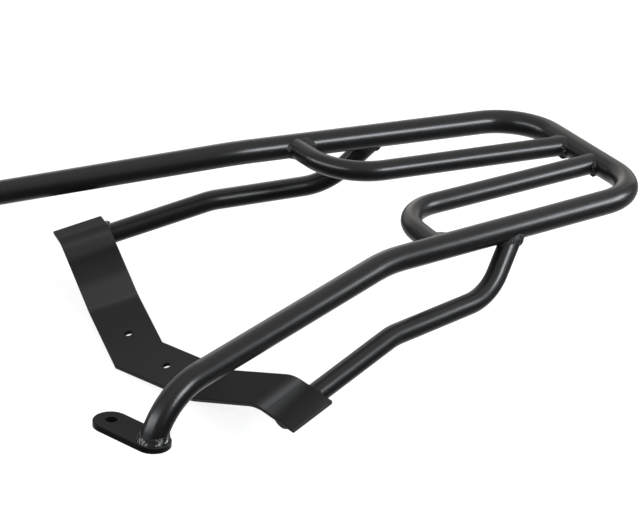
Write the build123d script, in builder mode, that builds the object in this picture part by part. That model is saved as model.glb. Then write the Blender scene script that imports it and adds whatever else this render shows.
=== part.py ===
from build123d import *
import os
from math import cos, radians, sin, tan

# Luggage rack, welded from bent steel tube and folded plate.
# X points to the rear, Y to the right-hand side and Z up, with the luggage platform level.
# The origin lies midway between the two foot bolts, on the underside of the foot plates.

# Tube stock
main_tube_diameter = 19.0
main_tube_wall = 2.0
thin_tube_diameter = 16.0
thin_tube_wall = 1.5

# Luggage platform, between tube centre lines
platform_height = 64.7  # above the underside of the foot plates
platform_length = 252.0  # from the kink in the side tubes to the rear tube
rear_width = 167.0  # where the lines of the side tubes cross the rear tube
kink_width = 224.5
rear_corner_radius = 45.0
kink_radius = 120.0

# Side tubes ahead of the platform, down to the feet
side_run = 215.5  # along X, from the kink to the front bend
side_drop = 29.7
flare_angle = 17.5  # outward, seen from above
front_bend_radius = 54.0
leg_angle = 65.5  # below the horizontal

# Foot plates
foot_plate_margin = 2.6  # beyond the slanted end of the tube, all round
foot_plate_thickness = 5.0
foot_bolt_offset = 40.0  # from the end of the tube, inward
foot_bolt_hole = 8.5
foot_plate_chamfer = 0.6

# Inner rails
rail_rear_spacing = 39.0
rail_front_spacing = 78.0
rail_hook_setback = 200.0  # from the rear tube to the corner of the hook
rail_hook_lean = 3.5  # how far the hook runs forward on its way out to the side tube
rail_bend_radius = 43.5

# Stays: setbacks from the rear tube, spacings between left and right, drops below the platform
stay_top_setback = 130.0
upper_knee_setback = 164.0
upper_knee_spacing = 235.0
upper_knee_drop = 42.4
lower_knee_setback = 258.5
lower_knee_spacing = 271.0
lower_knee_drop = 48.0
stay_end_setback = 365.0
stay_end_spacing = 327.0
stay_end_drop = 79.0
stay_bend_radius = 45.0

# Plugs in the lower ends of the stays
cap_head = 2.0
cap_head_round = 1.2
cap_spigot = 9.0
cap_clearance = 0.1

# Folded strap that joins the lower ends of the stays
strap_width = 40.0
strap_thickness = 3.0
flap_slope = 12.0  # down, going outward
flap_outer_reach = 20.6  # from the middle of the stay to the outer edge
flap_fold_reach = 16.0  # from the middle of the stay to the fold
flap_overhang = 10.5  # past the end of the stay, forward
flap_corner_radius = 0.8
arm_slope = 20.5  # down, going inward
arm_length = 78.0
fold_radius = 28.0  # inside the fold
strap_edge_round = 0.5
strap_bolt_spacing = 60.0
strap_bolt_hole = 6.6

# Welds
weld_leg = 2.5
strap_weld_root = 2.0  # from the line where the flap rests on the stay
strap_weld_angle = 60.0  # how far round the stay the bead reaches
strap_weld_cross = 1.6  # the bead across the top of the stay
foot_weld_leg = 2.0
foot_weld_height = 5.0
foot_weld_lip = 0.6  # what is left of the bead at its top

main_radius = main_tube_diameter / 2
thin_radius = thin_tube_diameter / 2
flare = radians(flare_angle)
leg_slope = radians(leg_angle)
up = Vector(0, 0, 1)
across = Vector(0, 1, 0)

# Places along the left side, from the foot to the rear tube. Left is the side of negative Y.
leg_height = platform_height - side_drop - foot_plate_thickness
leg_run = leg_height / tan(leg_slope)
foot_x = foot_bolt_offset * sin(flare)
bend_x = foot_x + leg_run * cos(flare)
kink_x = bend_x + side_run
rear_x = kink_x + platform_length
bend_y = -kink_width / 2 - side_run * tan(flare)
foot_y = bend_y - leg_run * sin(flare)

foot = Vector(foot_x, foot_y, foot_plate_thickness)
front_bend = Vector(bend_x, bend_y, platform_height - side_drop)
kink = Vector(kink_x, -kink_width / 2, platform_height)
rear_corner = Vector(rear_x, -rear_width / 2, platform_height)
leg_direction = (front_bend - foot).normalized()
rearward = Vector(cos(flare), sin(flare), 0)
inward = Vector(-sin(flare), cos(flare), 0)
side_direction = (rear_corner - kink).normalized()


def on_side_tube(setback):
    """Point on the left side tube's centre line, a setback ahead of the rear tube."""
    return rear_corner + (kink - rear_corner) * (setback / platform_length)


def other_side(point):
    """The same point on the right-hand side."""
    return Vector(point.X, -point.Y, point.Z)


def bent_bar(points, bend_radii, radius, wall=0):
    """Round bar along straight runs joined by tangent arcs, hollow where a wall is given."""
    with BuildPart() as bar:
        with BuildLine() as path:
            FilletPolyline(*points, radius=bend_radii)
        with BuildSketch(Plane(path.line @ 0, z_dir=path.line % 0)):
            Circle(radius)
            if wall:
                Circle(radius - wall, mode=Mode.SUBTRACT)
        sweep(path=path.line)
    return bar.part


def tee_weld(joint, branch_direction, run_direction):
    """Bead in the corner round the end of a thin tube, where it meets the side of the main tube."""
    stub_length = 2 * main_tube_diameter
    with BuildPart() as main_stub:
        with BuildSketch(Plane(joint, z_dir=run_direction)):
            Circle(main_radius)
        extrude(amount=stub_length, both=True)
    with BuildPart() as branch_stub:
        with BuildSketch(Plane(joint, z_dir=branch_direction)):
            Circle(thin_radius)
        extrude(amount=stub_length)
    with BuildPart() as bead:
        add(main_stub.part)
        add(branch_stub.part)
        chamfer(bead.edges(Select.NEW), length=weld_leg)
        add(main_stub.part, mode=Mode.SUBTRACT)
        add(branch_stub.part, mode=Mode.SUBTRACT)
    return bead.part


# Main loop: one tube from the left foot, round the rear, to the right foot
tube_overrun = leg_direction * main_tube_diameter
left_points = [foot - tube_overrun, front_bend, kink, rear_corner]
right_points = [other_side(point) for point in reversed(left_points)]
side_radii = [front_bend_radius, kink_radius, rear_corner_radius]
loop_points = left_points + right_points
loop_radii = side_radii + side_radii[::-1]
main_bar = bent_bar(loop_points, loop_radii, main_radius)
plate_top = Plane.XY.offset(foot_plate_thickness)

with BuildPart() as main_loop_tube:
    add(bent_bar(loop_points, loop_radii, main_radius, main_tube_wall))
    split(bisect_by=plate_top, keep=Keep.TOP)

# Foot plate: round-ended, with the tube standing on its outer end and the bolt hole in its inner end
tube_slant = main_radius / sin(leg_slope)
with BuildPart() as foot_plate:
    plate_plane = Plane((foot.X, foot.Y, 0), x_dir=inward, z_dir=up)
    with BuildSketch(plate_plane):
        with Locations((foot_bolt_offset / 2, 0)):
            SlotCenterToCenter(foot_bolt_offset, 2 * (tube_slant + foot_plate_margin))
    extrude(amount=foot_plate_thickness)
    chamfer(foot_plate.faces().filter_by(Axis.Z).edges(), length=foot_plate_chamfer)
    with Locations(plate_plane.location * Location((foot_bolt_offset, 0, foot_plate_thickness))):
        Hole(foot_bolt_hole / 2)

# Foot weld: a bead round the leg, flaring out onto the plate
weld_top = foot + leg_direction * (foot_weld_height / sin(leg_slope))
with BuildPart() as foot_weld:
    with BuildSketch(Plane(foot, x_dir=rearward, z_dir=up)):
        Ellipse(tube_slant + foot_weld_leg, main_radius + foot_weld_leg)
    with BuildSketch(Plane(weld_top, x_dir=rearward, z_dir=up)):
        Ellipse(tube_slant + foot_weld_lip, main_radius + foot_weld_lip)
    loft()
    add(main_bar, mode=Mode.SUBTRACT)

# Inner rail: from the rear tube forward, then turned out to the side tube
rail_rear = Vector(rear_x, -rail_rear_spacing / 2, platform_height)
rail_hook = Vector(rear_x - rail_hook_setback, -rail_front_spacing / 2, platform_height)
rail_side = on_side_tube(rail_hook_setback + rail_hook_lean)
rail_points = [rail_rear, rail_hook, rail_side]

with BuildPart() as rail_tube:
    add(bent_bar(rail_points, [rail_bend_radius], thin_radius, thin_tube_wall))
    add(main_bar, mode=Mode.SUBTRACT)

rail_forward = (rail_hook - rail_rear).normalized()
rail_rear_weld = tee_weld(rail_rear, rail_forward, across)
hook_inward = (rail_hook - rail_side).normalized()
rail_front_weld = tee_weld(rail_side, hook_inward, side_direction)

# Stay: from under the side tube down and forward, with two bends
stay_top = on_side_tube(stay_top_setback)
upper_knee = Vector(rear_x - upper_knee_setback, -upper_knee_spacing / 2, platform_height - upper_knee_drop)
lower_knee = Vector(rear_x - lower_knee_setback, -lower_knee_spacing / 2, platform_height - lower_knee_drop)
stay_end = Vector(rear_x - stay_end_setback, -stay_end_spacing / 2, platform_height - stay_end_drop)
stay_points = [stay_top, upper_knee, lower_knee, stay_end]
stay_radii = [stay_bend_radius, stay_bend_radius]
stay_bar = bent_bar(stay_points, stay_radii, thin_radius)

with BuildPart() as stay_tube:
    add(bent_bar(stay_points, stay_radii, thin_radius, thin_tube_wall))
    add(main_bar, mode=Mode.SUBTRACT)

stay_down = (upper_knee - stay_top).normalized()
stay_top_weld = tee_weld(stay_top, stay_down, side_direction)

# Plug in the stay's lower end
stay_forward = (stay_end - lower_knee).normalized()
with BuildPart() as stay_cap:
    with BuildSketch(Plane(stay_end, z_dir=stay_forward)):
        Circle(thin_radius)
    extrude(amount=cap_head)
    fillet(stay_cap.edges().sort_by(Axis(stay_end, stay_forward))[-1], radius=cap_head_round)
    with BuildSketch(Plane(stay_end, z_dir=stay_forward)):
        Circle(thin_radius - thin_tube_wall - cap_clearance)
    extrude(amount=-cap_spigot)

# Strap: its section stands square to the stay's lower run, and every fold runs along that direction.
# The middle of the section is level across the rack, so that the two halves meet in one plane.
outward = stay_forward.cross(up).normalized() * -1
section = Plane(stay_end + stay_forward * flap_overhang, x_dir=outward, z_dir=stay_forward)
middle_normal = across.cross(stay_forward).normalized()
middle_outward = middle_normal.cross(stay_forward).normalized()

flap = Vector(1, 0).rotate(Axis.Z, -flap_slope)
flap_normal = flap.rotate(Axis.Z, 90)
arm = Vector(1, 0).rotate(Axis.Z, arm_slope)
middle = Vector(middle_outward.dot(section.x_dir), middle_outward.dot(section.y_dir))
flap_seat = flap_normal * thin_radius
flap_edge = flap_seat + flap * flap_outer_reach
outer_fold = flap_seat - flap * flap_fold_reach
inner_fold = outer_fold - arm * arm_length
past_middle = inner_fold - middle * stay_end_spacing

# The bolt holes lie on the middle line of the strap's width.
middle_line = section.offset(-strap_width / 2).from_local_coords(inner_fold)
strap_bolt = middle_line + middle_outward * ((-strap_bolt_spacing / 2 - middle_line.Y) / middle_outward.Y)

with BuildPart() as mounting_strap:
    with BuildSketch(section):
        with BuildLine():
            FilletPolyline(
                past_middle,
                inner_fold,
                outer_fold,
                flap_edge,
                radius=[fold_radius + strap_thickness, fold_radius],
            )
            offset(amount=strap_thickness, side=Side.LEFT)
        make_face()
    extrude(amount=-strap_width)
    outward_axis = Axis(section.origin, outward)
    flap_axis = Axis(section.origin, section.x_dir * flap_normal.X + section.y_dir * flap_normal.Y)
    corners = mounting_strap.edges().filter_by(flap_axis).sort_by(outward_axis)[-2:]
    fillet(corners, radius=flap_corner_radius)
    rims = mounting_strap.edges().filter_by(lambda edge: edge.length > strap_thickness + strap_edge_round)
    fillet(rims.sort_by(outward_axis)[2:], radius=strap_edge_round)  # all but the end past the middle
    split(bisect_by=Plane.XZ, keep=Keep.TOP)
    mirror(about=Plane.XZ)
    for bolt in (strap_bolt, other_side(strap_bolt)):
        with Locations(Plane(bolt, z_dir=middle_normal)):
            Hole(strap_bolt_hole / 2)

# Welds between the stay and the flap that lies on it: a bead along each side, and one across the top
bead_toe = flap_normal * thin_radius * cos(radians(strap_weld_angle))
with BuildPart() as stay_strap_weld:
    with BuildSketch(section.offset(-flap_overhang)):
        for hand in (-1, 1):
            with BuildLine():
                Polyline(
                    flap_seat + flap * hand * strap_weld_root,
                    flap_seat + flap * hand * thin_radius,
                    bead_toe + flap * hand * thin_radius * sin(radians(strap_weld_angle)),
                    bead_toe + flap * hand * strap_weld_root,
                    close=True,
                )
            make_face()
    extrude(amount=flap_overhang - strap_width)
    with BuildSketch(section.offset(-strap_width)):
        Circle(thin_radius + strap_weld_cross)
        with Locations(bead_toe):
            Rectangle(
                4 * thin_radius,
                4 * thin_radius,
                rotation=-flap_slope,
                align=(Align.CENTER, Align.MAX),
                mode=Mode.SUBTRACT,
            )
    extrude(amount=-strap_weld_cross)
    add(stay_bar, mode=Mode.SUBTRACT)
    add(mounting_strap.part, mode=Mode.SUBTRACT)

pieces = {"main_loop_tube": main_loop_tube.part, "mounting_strap": mounting_strap.part}
left_pieces = {
    "foot_plate": foot_plate.part,
    "foot_weld": foot_weld.part,
    "rail_tube": rail_tube.part,
    "rail_rear_weld": rail_rear_weld,
    "rail_front_weld": rail_front_weld,
    "stay_tube": stay_tube.part,
    "stay_top_weld": stay_top_weld,
    "stay_cap": stay_cap.part,
    "stay_strap_weld": stay_strap_weld.part,
}

for name, piece in left_pieces.items():
    with BuildPart() as right_piece:
        mirror(piece, about=Plane.XZ)
    pieces[name + "_left"] = piece
    pieces[name + "_right"] = right_piece.part

os.makedirs("parts", exist_ok=True)
for name, piece in pieces.items():
    piece.label = name
    export_step(piece, f"parts/{name}.step")
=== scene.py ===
"""Looks of a welded tube luggage rack: powder coat, rippled weld beads, end caps and a plain studio."""
from math import cos, pi, radians, sin
from typing import NamedTuple

import bmesh
import bpy
import numpy as np
from bpy.props import FloatProperty, FloatVectorProperty, PointerProperty
from mathutils import Matrix, Quaternion, Vector, noise
from mathutils.bvhtree import BVHTree


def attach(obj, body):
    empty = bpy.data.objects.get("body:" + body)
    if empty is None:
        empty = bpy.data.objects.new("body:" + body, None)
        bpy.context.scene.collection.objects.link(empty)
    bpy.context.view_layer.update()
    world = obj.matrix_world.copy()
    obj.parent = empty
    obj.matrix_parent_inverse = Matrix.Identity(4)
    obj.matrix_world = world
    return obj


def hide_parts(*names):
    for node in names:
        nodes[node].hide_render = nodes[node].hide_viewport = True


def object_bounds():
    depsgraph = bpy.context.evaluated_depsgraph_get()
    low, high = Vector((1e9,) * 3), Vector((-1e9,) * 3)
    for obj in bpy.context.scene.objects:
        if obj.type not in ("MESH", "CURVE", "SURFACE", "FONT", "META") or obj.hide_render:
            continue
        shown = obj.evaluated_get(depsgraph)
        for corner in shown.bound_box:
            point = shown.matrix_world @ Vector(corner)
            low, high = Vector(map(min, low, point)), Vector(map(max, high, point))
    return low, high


bl_info = {
    "name": "Tube Luggage Rack",
    "version": (1, 0, 0),
    "blender": (4, 5, 0),
    "location": "View3D > Sidebar > Luggage Rack",
    "description": "Powder coat, weld beads, end caps and studio of a welded tube luggage rack",
    "category": "Object",
}

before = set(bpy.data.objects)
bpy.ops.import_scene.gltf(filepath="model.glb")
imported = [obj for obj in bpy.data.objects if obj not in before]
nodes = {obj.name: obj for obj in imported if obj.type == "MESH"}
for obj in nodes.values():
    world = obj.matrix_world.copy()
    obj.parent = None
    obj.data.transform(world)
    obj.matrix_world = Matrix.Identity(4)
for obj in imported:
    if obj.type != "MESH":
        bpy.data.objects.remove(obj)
cad_low, cad_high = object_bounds()

IMAGE_WIDTH = 643
IMAGE_HEIGHT = 514
SENSOR_WIDTH = 36.0
SIDES = ("left", "right")
LOOP = "main_loop_tube"
STRAP = "mounting_strap"
UP = Vector((0, 0, 1))


class Wire:
    """One socket's value in a node tree. Sums written with it add Math nodes to the tree."""

    def __init__(self, tree, socket=None):
        self.tree = tree
        self.socket = socket

    def make(self, kind, settings=None, inputs=None, output=0):
        """Add a node, give it its settings first, then feed its sockets, and return one of its outputs."""
        node = self.tree.nodes.new(kind)
        for name, value in (settings or {}).items():
            setattr(node, name, value)
        for name, value in (inputs or {}).items():
            if isinstance(value, Wire):
                self.tree.links.new(value.socket, node.inputs[name])
            else:
                node.inputs[name].default_value = value
        return Wire(self.tree, node.outputs[output] if node.outputs else None)

    def sum(self, operation, first, second):
        """Add a Math node for one step of a sum."""
        return self.make("ShaderNodeMath", {"operation": operation}, {0: first, 1: second})

    def __add__(self, other):
        return self.sum("ADD", self, other)

    __radd__ = __add__

    def __sub__(self, other):
        return self.sum("SUBTRACT", self, other)

    def __rsub__(self, other):
        return self.sum("SUBTRACT", other, self)

    def __mul__(self, other):
        return self.sum("MULTIPLY", self, other)

    __rmul__ = __mul__

    def __pow__(self, other):
        return self.sum("POWER", self, other)

    def at_least(self, floor):
        """The value, or the floor where it is lower."""
        return self.sum("MAXIMUM", self, floor)

    def between(self, first, second):
        """A colour that goes from the first to the second as the value goes from zero to one."""
        # A Mix node takes its two colours in sockets 6 and 7 and gives the mixed one in output 2.
        return self.make("ShaderNodeMix", {"data_type": "RGBA"}, {0: self, 6: first, 7: second}, output=2)


def empty_tree(owner):
    """A wire to start from in the emptied node tree of a material or a world."""
    owner.use_nodes = True
    owner.node_tree.nodes.clear()
    return Wire(owner.node_tree)


def skin_material(finish, name, colour, roughness, grain_size, grain_depth):
    """A dark coat or moulded skin: faint mottling in colour and gloss, and a finely dimpled surface."""
    octaves = 2.0
    octave_share = 0.45
    noise_middle = 0.5
    material = bpy.data.materials.new(name)
    start = empty_tree(material)
    place = start.make("ShaderNodeTexCoord", output="Object")
    cloud = start.make(
        "ShaderNodeTexNoise",
        inputs={"Vector": place, "Scale": finish.mottle_scale, "Detail": octaves},
    )
    grain = start.make(
        "ShaderNodeTexNoise",
        inputs={"Vector": place, "Scale": 1 / grain_size, "Detail": octaves, "Roughness": octave_share},
    )
    dark = [channel * (1 - finish.mottle) for channel in colour] + [1.0]
    light = [channel * (1 + finish.mottle) for channel in colour] + [1.0]
    tint = cloud.between(dark, light)
    gloss = roughness + (cloud - noise_middle) * finish.gloss_change
    dimples = start.make(
        "ShaderNodeBump",
        inputs={"Strength": 1.0, "Distance": grain_depth, "Height": grain},
    )
    shader = start.make(
        "ShaderNodeBsdfPrincipled",
        inputs={"Base Color": tint, "Roughness": gloss, "IOR": finish.refraction, "Normal": dimples},
    )
    start.make("ShaderNodeOutputMaterial", inputs={"Surface": shader})
    return material


def powder_coat(finish, name, colour, roughness):
    """A baked powder coat, with the same fine peel on every piece."""
    return skin_material(finish, name, colour, roughness, finish.peel_size, finish.peel_depth)


def paint(piece, material):
    """Put one material on a piece."""
    piece.data.materials.clear()
    piece.data.materials.append(material)


def pair(piece):
    """The left and the right node of a piece that the rack has two of."""
    return [nodes[piece + "_" + side] for side in SIDES]


def add_object(name, data):
    """A new object in the scene."""
    thing = bpy.data.objects.new(name, data)
    bpy.context.scene.collection.objects.link(thing)
    return thing


def add_bead(name, mesh, weld):
    """New bead on the rack in place of a weld."""
    piece = add_object(name, mesh)
    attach(piece, "root")
    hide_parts(weld)
    return piece


def wall(node):
    """Search tree of a node's surface."""
    mesh = nodes[node].data
    return BVHTree.FromPolygons(
        [vertex.co for vertex in mesh.vertices],
        [polygon.vertices for polygon in mesh.polygons],
    )


def gaps(points, surface):
    """Distance from each point to a wall."""
    return np.array([surface.find_nearest(point)[3] for point in points])


def seam(weld, first, second, steps):
    """Corner of a weld and its edges on the two walls that it joins, at even angles round it.

    A point of the weld belongs to a wall if it touches it. In each sector the corner is the point
    nearest to both walls, and an edge is the point on its wall that is furthest from the other wall.
    """
    touch = 0.00005
    points = np.array([vertex.co for vertex in nodes[weld].data.vertices])
    first_gap = gaps(points, wall(first))
    second_gap = gaps(points, wall(second))
    on_first = first_gap < touch
    on_second = second_gap < touch
    axis = points[on_first & ~on_second].mean(0) - points[on_second & ~on_first].mean(0)
    axis /= np.linalg.norm(axis)
    across = np.cross(axis, np.roll(axis, 1))
    across /= np.linalg.norm(across)
    along = np.cross(axis, across)
    centre = points[on_first & on_second].mean(0)
    angle = np.arctan2((points - centre) @ along, (points - centre) @ across)

    sectors = 48
    sector = np.floor((angle / (2 * pi) + 0.5) * sectors).astype(int) % sectors
    even_angles = np.linspace(-pi, pi, steps, endpoint=False)
    loops = []
    for belongs, score in (
        (on_first & on_second, -first_gap - second_gap),
        (on_first, second_gap),
        (on_second, first_gap),
    ):
        chosen = []
        for number in range(sectors):
            inside = np.flatnonzero(belongs & (sector == number))
            if len(inside):
                chosen.append(inside[np.argmax(score[inside])])
        columns = [
            np.interp(even_angles, angle[chosen], column, period=2 * pi)
            for column in points[chosen].T
        ]
        loops.append(np.column_stack(columns))
    return loops


def unit(vectors):
    """Rows of an array at unit length."""
    return vectors / np.linalg.norm(vectors, axis=1, keepdims=True)


def smooth_step(low, high, values):
    """Zero below low, one above high and a smooth rise between."""
    share = np.clip((values - low) / (high - low), 0, 1)
    return share * share * (3 - 2 * share)


def ring_mesh(name, rows):
    """Closed ring swept through rows of section points, each row a closed outline."""
    count, width = rows.shape[:2]
    here = np.arange(count * width).reshape(count, width)
    beside = np.roll(here, -1, axis=1)
    after = np.roll(here, -1, axis=0)
    across = np.roll(beside, -1, axis=0)
    faces = np.stack([here, beside, across, after], axis=2).reshape(-1, 4)
    mesh = bpy.data.meshes.new(name)
    mesh.from_pydata(rows.reshape(-1, 3).tolist(), [], faces.tolist())
    shaped = bmesh.new()
    shaped.from_mesh(mesh)
    bmesh.ops.recalc_face_normals(shaped, faces=shaped.faces)
    shaped.to_mesh(mesh)
    shaped.free()
    mesh.shade_smooth()
    return mesh


def lumps(points, size):
    """Smooth uneven values between about -1 and 1, a lump's size apart."""
    return np.array([noise.noise(Vector(point) / size) for point in points])


def ripples(travel):
    """Row of rounded ripples with sharp creases between them, one to each unit of travel."""
    fullness = 0.7
    middle_height = 0.5
    return np.abs(np.sin(pi * travel)) ** fullness - middle_height


def sunk_edge(surface, points, depth):
    """Points moved onto a wall and a little way into it."""
    edge = []
    for point in points:
        place, normal = surface.find_nearest(point)[:2]
        edge.append(place - normal * depth)
    return np.array(edge)


class Uneven(NamedTuple):
    """A place where a bead is fuller or thinner than elsewhere.

    It lies in a direction from the bead's middle. The gain is the share that the bead gains there, and
    the start is how near to that direction the change begins, as a cosine.
    """

    direction: Vector
    gain: float
    start: float


def fuller(radial, places):
    """Share that a bead gains or loses in each of the given directions from its middle."""
    gain = np.zeros(len(radial))
    for place in places:
        direction = np.array(place.direction.normalized())
        gain += place.gain * smooth_step(place.start, 1.0, radial @ direction)
    return gain


def round_bead(joint, side, first, second, sizes, uneven=(), legs=(1.0, 1.0), bold=1.0):
    """Rippled bead that runs all the way round a joint, in the corner of its weld.

    The legs are how far it reaches up its two walls, as shares of the weld's own reach, and bold is how
    far its face stands out, as a share of the usual height.
    """
    steps = 320
    face_points = 15
    name = f"{joint}_bead_{side}"
    weld = f"{joint}_weld_{side}"
    corner, first_edge, second_edge = seam(weld, first, second, steps)
    outward = unit(first_edge + second_edge - 2 * corner)
    radial = unit(corner - corner.mean(0))
    wander = sizes.waver * lumps(corner, 2 * sizes.lump_size)
    fullness = 1 + wander + fuller(radial, uneven)
    first_reach, second_reach = (leg * fullness[:, None] for leg in legs)
    first_edge = sunk_edge(wall(first), corner + (first_edge - corner) * first_reach, sizes.toe_depth)
    second_edge = sunk_edge(wall(second), corner + (second_edge - corner) * second_reach, sizes.toe_depth)

    middle = (first_edge + second_edge) / 2
    lengths = np.linalg.norm(np.roll(middle, -1, axis=0) - middle, axis=1)
    ripple_count = round(lengths.sum() / sizes.ripple_pitch)
    travel = np.concatenate([[0], np.cumsum(lengths)[:-1]]) / lengths.sum() * ripple_count

    rows = [corner - outward * sizes.root_depth]
    for number in range(face_points):
        share = number / (face_points - 1)
        arch = sin(pi * share)
        edge = first_edge * (1 - share) + second_edge * share
        height = (
            sizes.crown
            + sizes.ripple_depth * ripples(travel + sizes.ripple_lean * arch)
            + sizes.lump_depth * lumps(edge, sizes.lump_size)
        )
        rows.append(edge + outward * (bold * fullness * height * arch)[:, None])
    return add_bead(name, ring_mesh(name, np.stack(rows, axis=1)), weld)


def straight_bead(joint, side, walls, sizes, uneven):
    """Rippled bead with straight runs: the weld's own form, swollen where it is clear of the walls."""
    name = f"{joint}_bead_{side}"
    weld = f"{joint}_weld_{side}"
    rough = add_object(name + "_rough", nodes[weld].data.copy())
    remesh = rough.modifiers.new("fine", "REMESH")
    remesh.mode = "VOXEL"
    remesh.voxel_size = sizes.fine_mesh
    mesh = bpy.data.meshes.new_from_object(rough.evaluated_get(bpy.context.evaluated_depsgraph_get()))
    bpy.data.objects.remove(rough)

    points = np.array([vertex.co for vertex in mesh.vertices])
    normals = np.array([vertex.normal for vertex in mesh.vertices])
    gap = np.min([gaps(points, surface) for surface in walls], axis=0)
    clear = smooth_step(sizes.toe_depth, sizes.toe_depth + 2 * sizes.crown, gap)
    along = np.linalg.svd(points - points.mean(0), full_matrices=False)[2][0]
    height = (
        sizes.crown
        + sizes.ripple_depth * ripples(points @ along / sizes.ripple_pitch)
        + sizes.lump_depth * lumps(points, sizes.lump_size)
    )
    fullness = 1 + fuller(unit(points - points.mean(0)), uneven)
    moved = points + normals * (clear * fullness * height)[:, None]
    mesh.vertices.foreach_set("co", moved.ravel())
    mesh.shade_smooth()
    return add_bead(name, mesh, weld)


def rail_beads(side, sizes, coat):
    """Beads at the ends of a rail: on the rear of the loop, and where its hook meets the loop's side."""
    rail = "rail_tube_" + side
    thin_on_top = Uneven(UP, gain=-0.7, start=0.15)
    sag = Uneven(Vector((0, -0.45, -0.9)), gain=0.5, start=0.93)
    rear_legs = {"left": (1.0, 1.0), "right": (1.5, 1.6)}
    rear = round_bead(
        "rail_rear", side, rail, LOOP, sizes,
        uneven=[thin_on_top, sag], legs=rear_legs[side],
    )
    thin_on_hook = Uneven(UP, gain=-0.6, start=0.15)
    full_behind = Uneven(Vector((1, 0, 0.45)), gain=1.1, start=0.75)
    front = round_bead(
        "rail_front", side, rail, LOOP, sizes,
        uneven=[thin_on_hook, full_behind], legs=(1.5, 1.3), bold=0.5,
    )
    paint(rear, coat)
    paint(front, coat)


def stay_top_bead(side, sizes, coat):
    """Bead where a stay meets the loop from below, drawn out down the stay and fuller behind it."""
    thin_in_front = Uneven(Vector((-1, 0, 0)), gain=-0.4, start=0.15)
    full_behind = Uneven(Vector((1, 0, -0.3)), gain=0.5, start=0.4)
    bead = round_bead(
        "stay_top", side, "stay_tube_" + side, LOOP, sizes,
        uneven=[thin_in_front, full_behind], legs=(1.8, 0.35), bold=0.75,
    )
    paint(bead, coat)


def foot_bead(side, sizes, coat):
    """Bold bead round an end of the loop, on its foot plate."""
    bead = round_bead("foot", side, LOOP, "foot_plate_" + side, sizes, bold=1.5)
    paint(bead, coat)


def stay_strap_bead(side, sizes, coat):
    """Bead between a stay and the flap that lies on it, heaped up on the outer side of its rear end."""
    outer = -1 if side == "left" else 1
    heap = Uneven(Vector((0.9, 0.35 * outer, 0.25)), gain=2.0, start=0.9)
    thin_inside = Uneven(Vector((0.9, -0.35 * outer, 0.25)), gain=-0.9, start=0.85)
    walls = [wall("stay_tube_" + side), wall(STRAP)]
    bead = straight_bead("stay_strap", side, walls, sizes, [heap, thin_inside])
    paint(bead, coat)


class RackFinish(bpy.types.PropertyGroup):
    """Colours and gloss of the rack's coats."""

    tube_colour: FloatVectorProperty(
        name="Tube colour",
        description="Colour of the satin powder coat on the tubes",
        subtype="COLOR",
        default=(0.0085, 0.0085, 0.0089),
    )
    tube_roughness: FloatProperty(
        name="Tube roughness",
        description="How much the coat on the tubes blurs a reflection",
        subtype="FACTOR",
        default=0.29,
    )
    plate_colour: FloatVectorProperty(
        name="Plate colour",
        description="Colour of the matt powder coat on the strap and the foot plates",
        subtype="COLOR",
        default=(0.009, 0.009, 0.0094),
    )
    plate_roughness: FloatProperty(
        name="Plate roughness",
        description="How much the coat on the plates blurs a reflection",
        subtype="FACTOR",
        default=0.36,
    )
    weld_colour: FloatVectorProperty(
        name="Weld colour",
        description="Colour of the coat where it has run over the weld beads",
        subtype="COLOR",
        default=(0.0085, 0.0085, 0.0089),
    )
    weld_roughness: FloatProperty(
        name="Weld roughness",
        description="How much the coat on the beads blurs a reflection",
        subtype="FACTOR",
        default=0.28,
    )
    foot_roughness: FloatProperty(
        name="Foot weld roughness",
        description="How much the thicker coat on the beads round the feet blurs a reflection",
        subtype="FACTOR",
        default=0.18,
    )
    stay_roughness: FloatProperty(
        name="Stay weld roughness",
        description="How much the dull coat on the beads at the tops of the stays blurs a reflection",
        subtype="FACTOR",
        default=0.6,
    )
    cap_colour: FloatVectorProperty(
        name="Cap colour",
        description="Colour of the moulded end caps",
        subtype="COLOR",
        default=(0.012, 0.012, 0.012),
    )
    cap_roughness: FloatProperty(
        name="Cap roughness",
        description="How much the moulded caps blur a reflection",
        subtype="FACTOR",
        default=0.55,
    )
    cap_grain_size: FloatProperty(
        name="Cap grain size",
        description="Width of one dimple in the moulded caps",
        unit="LENGTH",
        default=0.0006,
    )
    cap_grain_depth: FloatProperty(
        name="Cap grain depth",
        description="Depth of the dimples in the moulded caps",
        unit="LENGTH",
        default=0.00002,
    )
    peel_size: FloatProperty(
        name="Peel size",
        description="Width of one dimple in the baked powder",
        unit="LENGTH",
        default=0.0016,
    )
    peel_depth: FloatProperty(
        name="Peel depth",
        description="Depth of the dimples in the baked powder",
        unit="LENGTH",
        default=0.000002,
    )
    mottle: FloatProperty(
        name="Mottle",
        description="Share by which a coat's colour wanders",
        subtype="FACTOR",
        default=0.1,
    )
    mottle_scale: FloatProperty(
        name="Mottle scale",
        description="How many clouds of mottling there are to a metre",
        default=45.0,
    )
    gloss_change: FloatProperty(
        name="Gloss change",
        description="How far a coat's roughness wanders with the mottling",
        subtype="FACTOR",
        default=0.03,
    )
    refraction: FloatProperty(
        name="Refraction",
        description="Index of refraction of the coats and the caps",
        default=1.5,
    )


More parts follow.
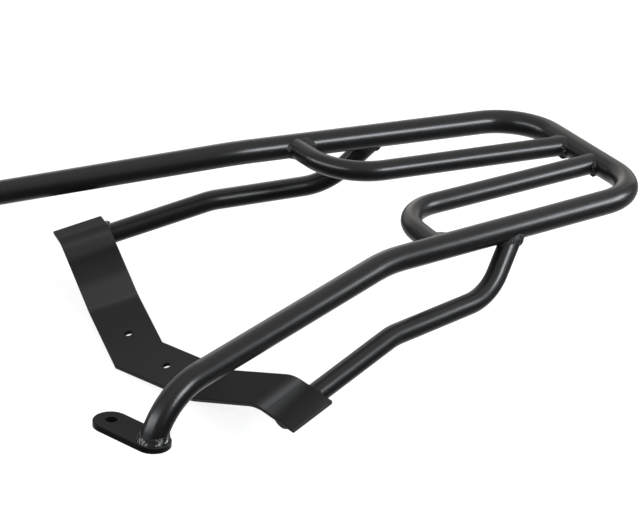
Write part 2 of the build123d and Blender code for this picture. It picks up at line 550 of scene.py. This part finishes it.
class RackWelds(bpy.types.PropertyGroup):
    """Sizes of the weld beads."""

    crown: FloatProperty(
        name="Crown",
        description="How far the bead bulges out of a flat face",
        unit="LENGTH",
        default=0.0007,
    )
    ripple_pitch: FloatProperty(
        name="Ripple pitch",
        description="Distance from one ripple to the next",
        unit="LENGTH",
        default=0.0024,
    )
    ripple_depth: FloatProperty(
        name="Ripple depth",
        description="Height of a ripple over the crease beside it",
        unit="LENGTH",
        default=0.0007,
    )
    ripple_lean: FloatProperty(
        name="Ripple lean",
        description="How far the middle of a ripple runs ahead of its ends, in ripples",
        default=0.6,
    )
    lump_size: FloatProperty(
        name="Lump size",
        description="Width of the uneven lumps along a bead",
        unit="LENGTH",
        default=0.0045,
    )
    lump_depth: FloatProperty(
        name="Lump depth",
        description="Height of the uneven lumps along a bead",
        unit="LENGTH",
        default=0.0008,
    )
    waver: FloatProperty(
        name="Waver",
        description="Share by which the width of a bead wanders along it",
        subtype="FACTOR",
        default=0.25,
    )
    root_depth: FloatProperty(
        name="Root depth",
        description="How far the root of a bead lies inside the tubes",
        unit="LENGTH",
        default=0.0005,
    )
    toe_depth: FloatProperty(
        name="Toe depth",
        description="How far the edges of a bead lie inside the tubes",
        unit="LENGTH",
        default=0.0003,
    )
    fine_mesh: FloatProperty(
        name="Fine mesh",
        description="Mesh size of the beads along the straight runs",
        unit="LENGTH",
        default=0.00035,
    )


class RackStage(bpy.types.PropertyGroup):
    """Camera, light and floor."""

    azimuth: FloatProperty(
        name="Azimuth",
        description="Turn of the camera about the upright axis",
        subtype="ANGLE",
        default=radians(-31.98),
    )
    elevation: FloatProperty(
        name="Elevation",
        description="How far the camera looks down",
        subtype="ANGLE",
        default=radians(24.23),
    )
    roll: FloatProperty(
        name="Roll",
        description="Turn of the camera about its own line of sight",
        subtype="ANGLE",
        default=radians(3.07),
    )
    distance: FloatProperty(
        name="Distance",
        description="From the camera to the point that it is aimed by",
        unit="LENGTH",
        default=2.5345,
    )
    lens: FloatProperty(
        name="Lens",
        description="Focal length in millimetres",
        unit="CAMERA",
        default=183.82,
    )
    aim: FloatVectorProperty(
        name="Aim",
        description="Point on the middle line of the platform that the camera is aimed by",
        subtype="TRANSLATION",
        default=(0.3796, 0, 0.0647),
    )
    aim_pixel: FloatVectorProperty(
        name="Aim pixel",
        description="Where that point shows in the image, from its upper left corner",
        size=2,
        default=(463.25, 176.12),
    )
    floor_colour: FloatVectorProperty(
        name="Floor colour",
        description="Colour of the floor",
        subtype="COLOR",
        default=(0.9, 0.9, 0.9),
    )
    floor_span: FloatProperty(
        name="Floor span",
        description="Side of the square floor",
        unit="LENGTH",
        default=12.0,
    )
    floor_glow: FloatProperty(
        name="Floor glow",
        description="Brightness of the floor's own light",
        default=1.4,
    )
    floor_matt: FloatProperty(
        name="Floor matt",
        description="Share of the floor's look that comes from the light that falls on it",
        subtype="FACTOR",
        default=0.35,
    )
    light_distance: FloatProperty(
        name="Light distance",
        description="From the middle of the rack to the soft lights",
        unit="LENGTH",
        default=3.4,
    )
    side_distance: FloatProperty(
        name="Side distance",
        description="From the rear corner of the rack to the soft light beside it",
        unit="LENGTH",
        default=0.6,
    )
    side_aim: FloatVectorProperty(
        name="Side aim",
        description="Point near the rear corner of the rack that the light beside it faces",
        subtype="TRANSLATION",
        default=(0.42, -0.08, 0.065),
    )
    sky: FloatProperty(
        name="Sky",
        description="Brightness of the soft light from overhead",
        default=0.66,
    )
    glow: FloatProperty(
        name="Glow",
        description="Brightness of the pale room low down behind the rack",
        default=0.9,
    )


def soft_light(name, aim, distance, direction, size, brightness, colour, tilt=0):
    """Rectangular soft light that faces a point.

    It stands in a direction from that point, given as azimuth and elevation, and its tilt turns it about
    its own line of sight. All angles are in degrees.
    """
    azimuth, elevation = (radians(angle) for angle in direction)
    width, height = size
    outward = Vector(
        (
            cos(azimuth) * cos(elevation),
            sin(azimuth) * cos(elevation),
            sin(elevation),
        )
    )
    data = bpy.data.lights.new(name, "AREA")
    data.shape = "RECTANGLE"
    data.size = width
    data.size_y = height
    data.energy = brightness * pi * width * height
    data.color = colour
    light = add_object(name, data)
    light.location = aim + outward * distance
    turn = outward.to_track_quat("Z", "Y") @ Quaternion(UP, radians(tilt))
    light.rotation_euler = turn.to_euler()
    return light


def only_on(light, pieces):
    """Let a light reach these pieces and no others."""
    lit = bpy.data.collections.new("lit_by_" + light.name)
    for piece in pieces:
        lit.objects.link(piece)
    light.light_linking.receiver_collection = lit


class RACK_OT_tubes(bpy.types.Operator):
    """Coat the main loop, the rails and the stays in satin powder coat"""

    bl_idname = "rack.tubes"
    bl_label = "Coat Tubes"

    def execute(self, context):
        finish = context.scene.rack_finish
        coat = powder_coat(finish, "satin_powder_coat", finish.tube_colour, finish.tube_roughness)
        for tube in (nodes[LOOP], *pair("rail_tube"), *pair("stay_tube")):
            paint(tube, coat)
        return {"FINISHED"}


class RACK_OT_plates(bpy.types.Operator):
    """Coat the folded strap and the foot plates in matt powder coat"""

    bl_idname = "rack.plates"
    bl_label = "Coat Plates"

    def execute(self, context):
        finish = context.scene.rack_finish
        coat = powder_coat(finish, "matt_powder_coat", finish.plate_colour, finish.plate_roughness)
        for plate in (nodes[STRAP], *pair("foot_plate")):
            paint(plate, coat)
        return {"FINISHED"}


class RACK_OT_welds(bpy.types.Operator):
    """Lay the rippled beads at the tube joints and round the feet"""

    bl_idname = "rack.welds"
    bl_label = "Lay Weld Beads"

    def execute(self, context):
        finish = context.scene.rack_finish
        sizes = context.scene.rack_welds
        coat = powder_coat(finish, "coated_weld", finish.weld_colour, finish.weld_roughness)
        thick_coat = powder_coat(finish, "coated_foot_weld", finish.weld_colour, finish.foot_roughness)
        dull_coat = powder_coat(finish, "coated_stay_weld", finish.weld_colour, finish.stay_roughness)
        for side in SIDES:
            rail_beads(side, sizes, coat)
            stay_top_bead(side, sizes, dull_coat)
            foot_bead(side, sizes, thick_coat)
            stay_strap_bead(side, sizes, coat)
        return {"FINISHED"}


class RACK_OT_caps(bpy.types.Operator):
    """Give the plugs in the ends of the stays their moulded plastic"""

    bl_idname = "rack.caps"
    bl_label = "Finish Caps"

    def execute(self, context):
        finish = context.scene.rack_finish
        plastic = skin_material(
            finish,
            "moulded_cap",
            finish.cap_colour,
            finish.cap_roughness,
            finish.cap_grain_size,
            finish.cap_grain_depth,
        )
        for cap in pair("stay_cap"):
            paint(cap, plastic)
        return {"FINISHED"}


class RACK_OT_stage(bpy.types.Operator):
    """Set up the floor, the soft lights and the camera"""

    bl_idname = "rack.stage"
    bl_label = "Set Stage"

    def execute(self, context):
        stage = context.scene.rack_stage
        self.lay_floor(stage)
        self.place_lights(context.scene, stage)
        self.make_room(context.scene, stage)
        self.place_camera(context.scene, stage)
        return {"FINISHED"}

    def lay_floor(self, stage):
        """A plain pale floor under the lowest point of the rack."""
        half = stage.floor_span / 2
        corners = [(x * half, y * half, cad_low.z) for x, y in ((-1, -1), (1, -1), (1, 1), (-1, 1))]
        mesh = bpy.data.meshes.new("floor")
        mesh.from_pydata(corners, [], [(0, 1, 2, 3)])
        floor = add_object("floor", mesh)
        material = bpy.data.materials.new("pale_floor")
        start = empty_tree(material)
        colour = list(stage.floor_colour) + [1.0]
        glow = start.make("ShaderNodeEmission", inputs={"Color": colour, "Strength": stage.floor_glow})
        matt = start.make("ShaderNodeBsdfDiffuse", inputs={"Color": colour})
        both = start.make("ShaderNodeMixShader", inputs={0: stage.floor_matt, 1: glow, 2: matt})
        start.make("ShaderNodeOutputMaterial", inputs={"Surface": both})
        paint(floor, material)
        floor.visible_diffuse = False
        floor.visible_glossy = False

    def place_lights(self, scene, stage):
        """Soft lights round the rack, four of which leave the strap and the foot plates in shade."""
        centre = (cad_low + cad_high) / 2
        cool = (0.92, 0.96, 1.0)
        warm = (1.0, 0.97, 0.93)
        soft_light(
            "key_light", centre, stage.light_distance,
            direction=(-69, 29), size=(1.2, 0.9), brightness=18.0, colour=cool,
        )
        soft_light(
            "side_light", Vector(stage.side_aim), stage.side_distance,
            direction=(-31, 21), size=(0.34, 0.18), brightness=12.0, colour=cool,
        )
        front_light = soft_light(
            "front_light", centre, stage.light_distance,
            direction=(174, 27), size=(4.8, 0.7), brightness=7.0, colour=cool, tilt=15,
        )
        back_light = soft_light(
            "back_light", centre, stage.light_distance,
            direction=(48, 12), size=(3.2, 1.6), brightness=0.65, colour=warm,
        )
        right_light = soft_light(
            "right_light", centre, stage.light_distance,
            direction=(85, 18), size=(3.5, 2.7), brightness=0.7, colour=warm,
        )
        high_light = soft_light(
            "high_light", centre, stage.light_distance,
            direction=(40, 43), size=(3.0, 2.0), brightness=0.22, colour=warm,
        )
        fold_light = soft_light(
            "fold_light", centre, stage.light_distance,
            direction=(72, 60), size=(1.0, 0.25), brightness=11.0, colour=cool,
        )
        shaded = [nodes[STRAP], *pair("foot_plate")]
        others = [piece for piece in scene.objects if piece.type == "MESH" and piece not in shaded]
        for light in (front_light, back_light, right_light, high_light):
            only_on(light, others)
        only_on(fold_light, [nodes[STRAP]])

    def make_room(self, scene, stage):
        """A dim room, brighter overhead and low behind the rack, and white where the camera sees it."""
        sky_narrowing = 1.5
        glow_narrowing = 3.0
        floor_bounce = 0.06
        dimmest = 0.02
        warm_white = (1.0, 0.98, 0.96, 1.0)
        white = (1.0, 1.0, 1.0, 1.0)
        behind = Vector((0.3, 0.54, -0.79)).normalized()
        world = bpy.data.worlds.new("studio")
        start = empty_tree(world)
        direction = start.make("ShaderNodeTexCoord", output="Generated")
        height = start.make("ShaderNodeSeparateXYZ", inputs={0: direction}, output="Z")
        toward_glow = start.make(
            "ShaderNodeVectorMath",
            {"operation": "DOT_PRODUCT"},
            {0: direction, 1: behind},
            output="Value",
        )
        overhead = height.at_least(0.0) ** sky_narrowing
        below = (0 - height).at_least(0.0)
        glow = toward_glow.at_least(0.0) ** glow_narrowing
        strength = stage.sky * overhead + floor_bounce * below + stage.glow * glow + dimmest
        room = start.make("ShaderNodeBackground", inputs={"Color": warm_white, "Strength": strength})
        seen = start.make("ShaderNodeBackground", inputs={"Color": white, "Strength": 1.0})
        is_seen = start.make("ShaderNodeLightPath", output="Is Camera Ray")
        both = start.make("ShaderNodeMixShader", inputs={0: is_seen, 1: room, 2: seen})
        start.make("ShaderNodeOutputWorld", inputs={"Surface": both})
        scene.world = world
        scene.view_settings.view_transform = "Standard"

    def place_camera(self, scene, stage):
        """A camera that shows the aim point at its pixel, with no shift."""
        turn = stage.azimuth
        dip = stage.elevation
        right = Vector((cos(turn), sin(turn), 0))
        level = Vector((-sin(turn), cos(turn), 0))
        sight = level * cos(dip) - UP * sin(dip)
        above = level * sin(dip) + UP * cos(dip)
        image_right = right * cos(stage.roll) + above * sin(stage.roll)
        image_up = above * cos(stage.roll) - right * sin(stage.roll)
        pixel = stage.distance * SENSOR_WIDTH / (stage.lens * IMAGE_WIDTH)
        offset_right = (stage.aim_pixel[0] - IMAGE_WIDTH / 2) * pixel
        offset_down = (stage.aim_pixel[1] - IMAGE_HEIGHT / 2) * pixel
        place = (
            Vector(stage.aim)
            - sight * stage.distance
            - image_right * offset_right
            + image_up * offset_down
        )

        data = bpy.data.cameras.new("camera")
        data.sensor_width = SENSOR_WIDTH
        data.lens = stage.lens
        camera = add_object("camera", data)
        axes = Matrix((image_right, image_up, -sight)).transposed()
        camera.matrix_world = Matrix.Translation(place) @ axes.to_4x4()
        scene.camera = camera


class RACK_PT_panel(bpy.types.Panel):
    """Steps and settings of the rack, in the sidebar of the 3D view"""

    bl_idname = "RACK_PT_panel"
    bl_label = "Luggage Rack"
    bl_space_type = "VIEW_3D"
    bl_region_type = "UI"
    bl_category = "Luggage Rack"

    def draw(self, context):
        layout = self.layout
        for step in STEPS:
            layout.operator(step.bl_idname)
        for group_name, group in SETTINGS.items():
            box = layout.box()
            for name in group.__annotations__:
                box.prop(getattr(context.scene, group_name), name)


STEPS = (RACK_OT_tubes, RACK_OT_plates, RACK_OT_welds, RACK_OT_caps, RACK_OT_stage)
SETTINGS = {"rack_finish": RackFinish, "rack_welds": RackWelds, "rack_stage": RackStage}


def register():
    """Add the settings, the steps and the panel."""
    for name, group in SETTINGS.items():
        bpy.utils.register_class(group)
        setattr(bpy.types.Scene, name, PointerProperty(type=group))
    for step in STEPS:
        bpy.utils.register_class(step)
    bpy.utils.register_class(RACK_PT_panel)


def unregister():
    """Take the panel, the steps and the settings away again."""
    bpy.utils.unregister_class(RACK_PT_panel)
    for step in reversed(STEPS):
        bpy.utils.unregister_class(step)
    for name, group in SETTINGS.items():
        delattr(bpy.types.Scene, name)
        bpy.utils.unregister_class(group)


def main():
    """Dress the rack step by step."""
    register()
    bpy.ops.rack.tubes()
    bpy.ops.rack.plates()
    bpy.ops.rack.welds()
    bpy.ops.rack.caps()
    bpy.ops.rack.stage()


if __name__ == "__main__":
    main()
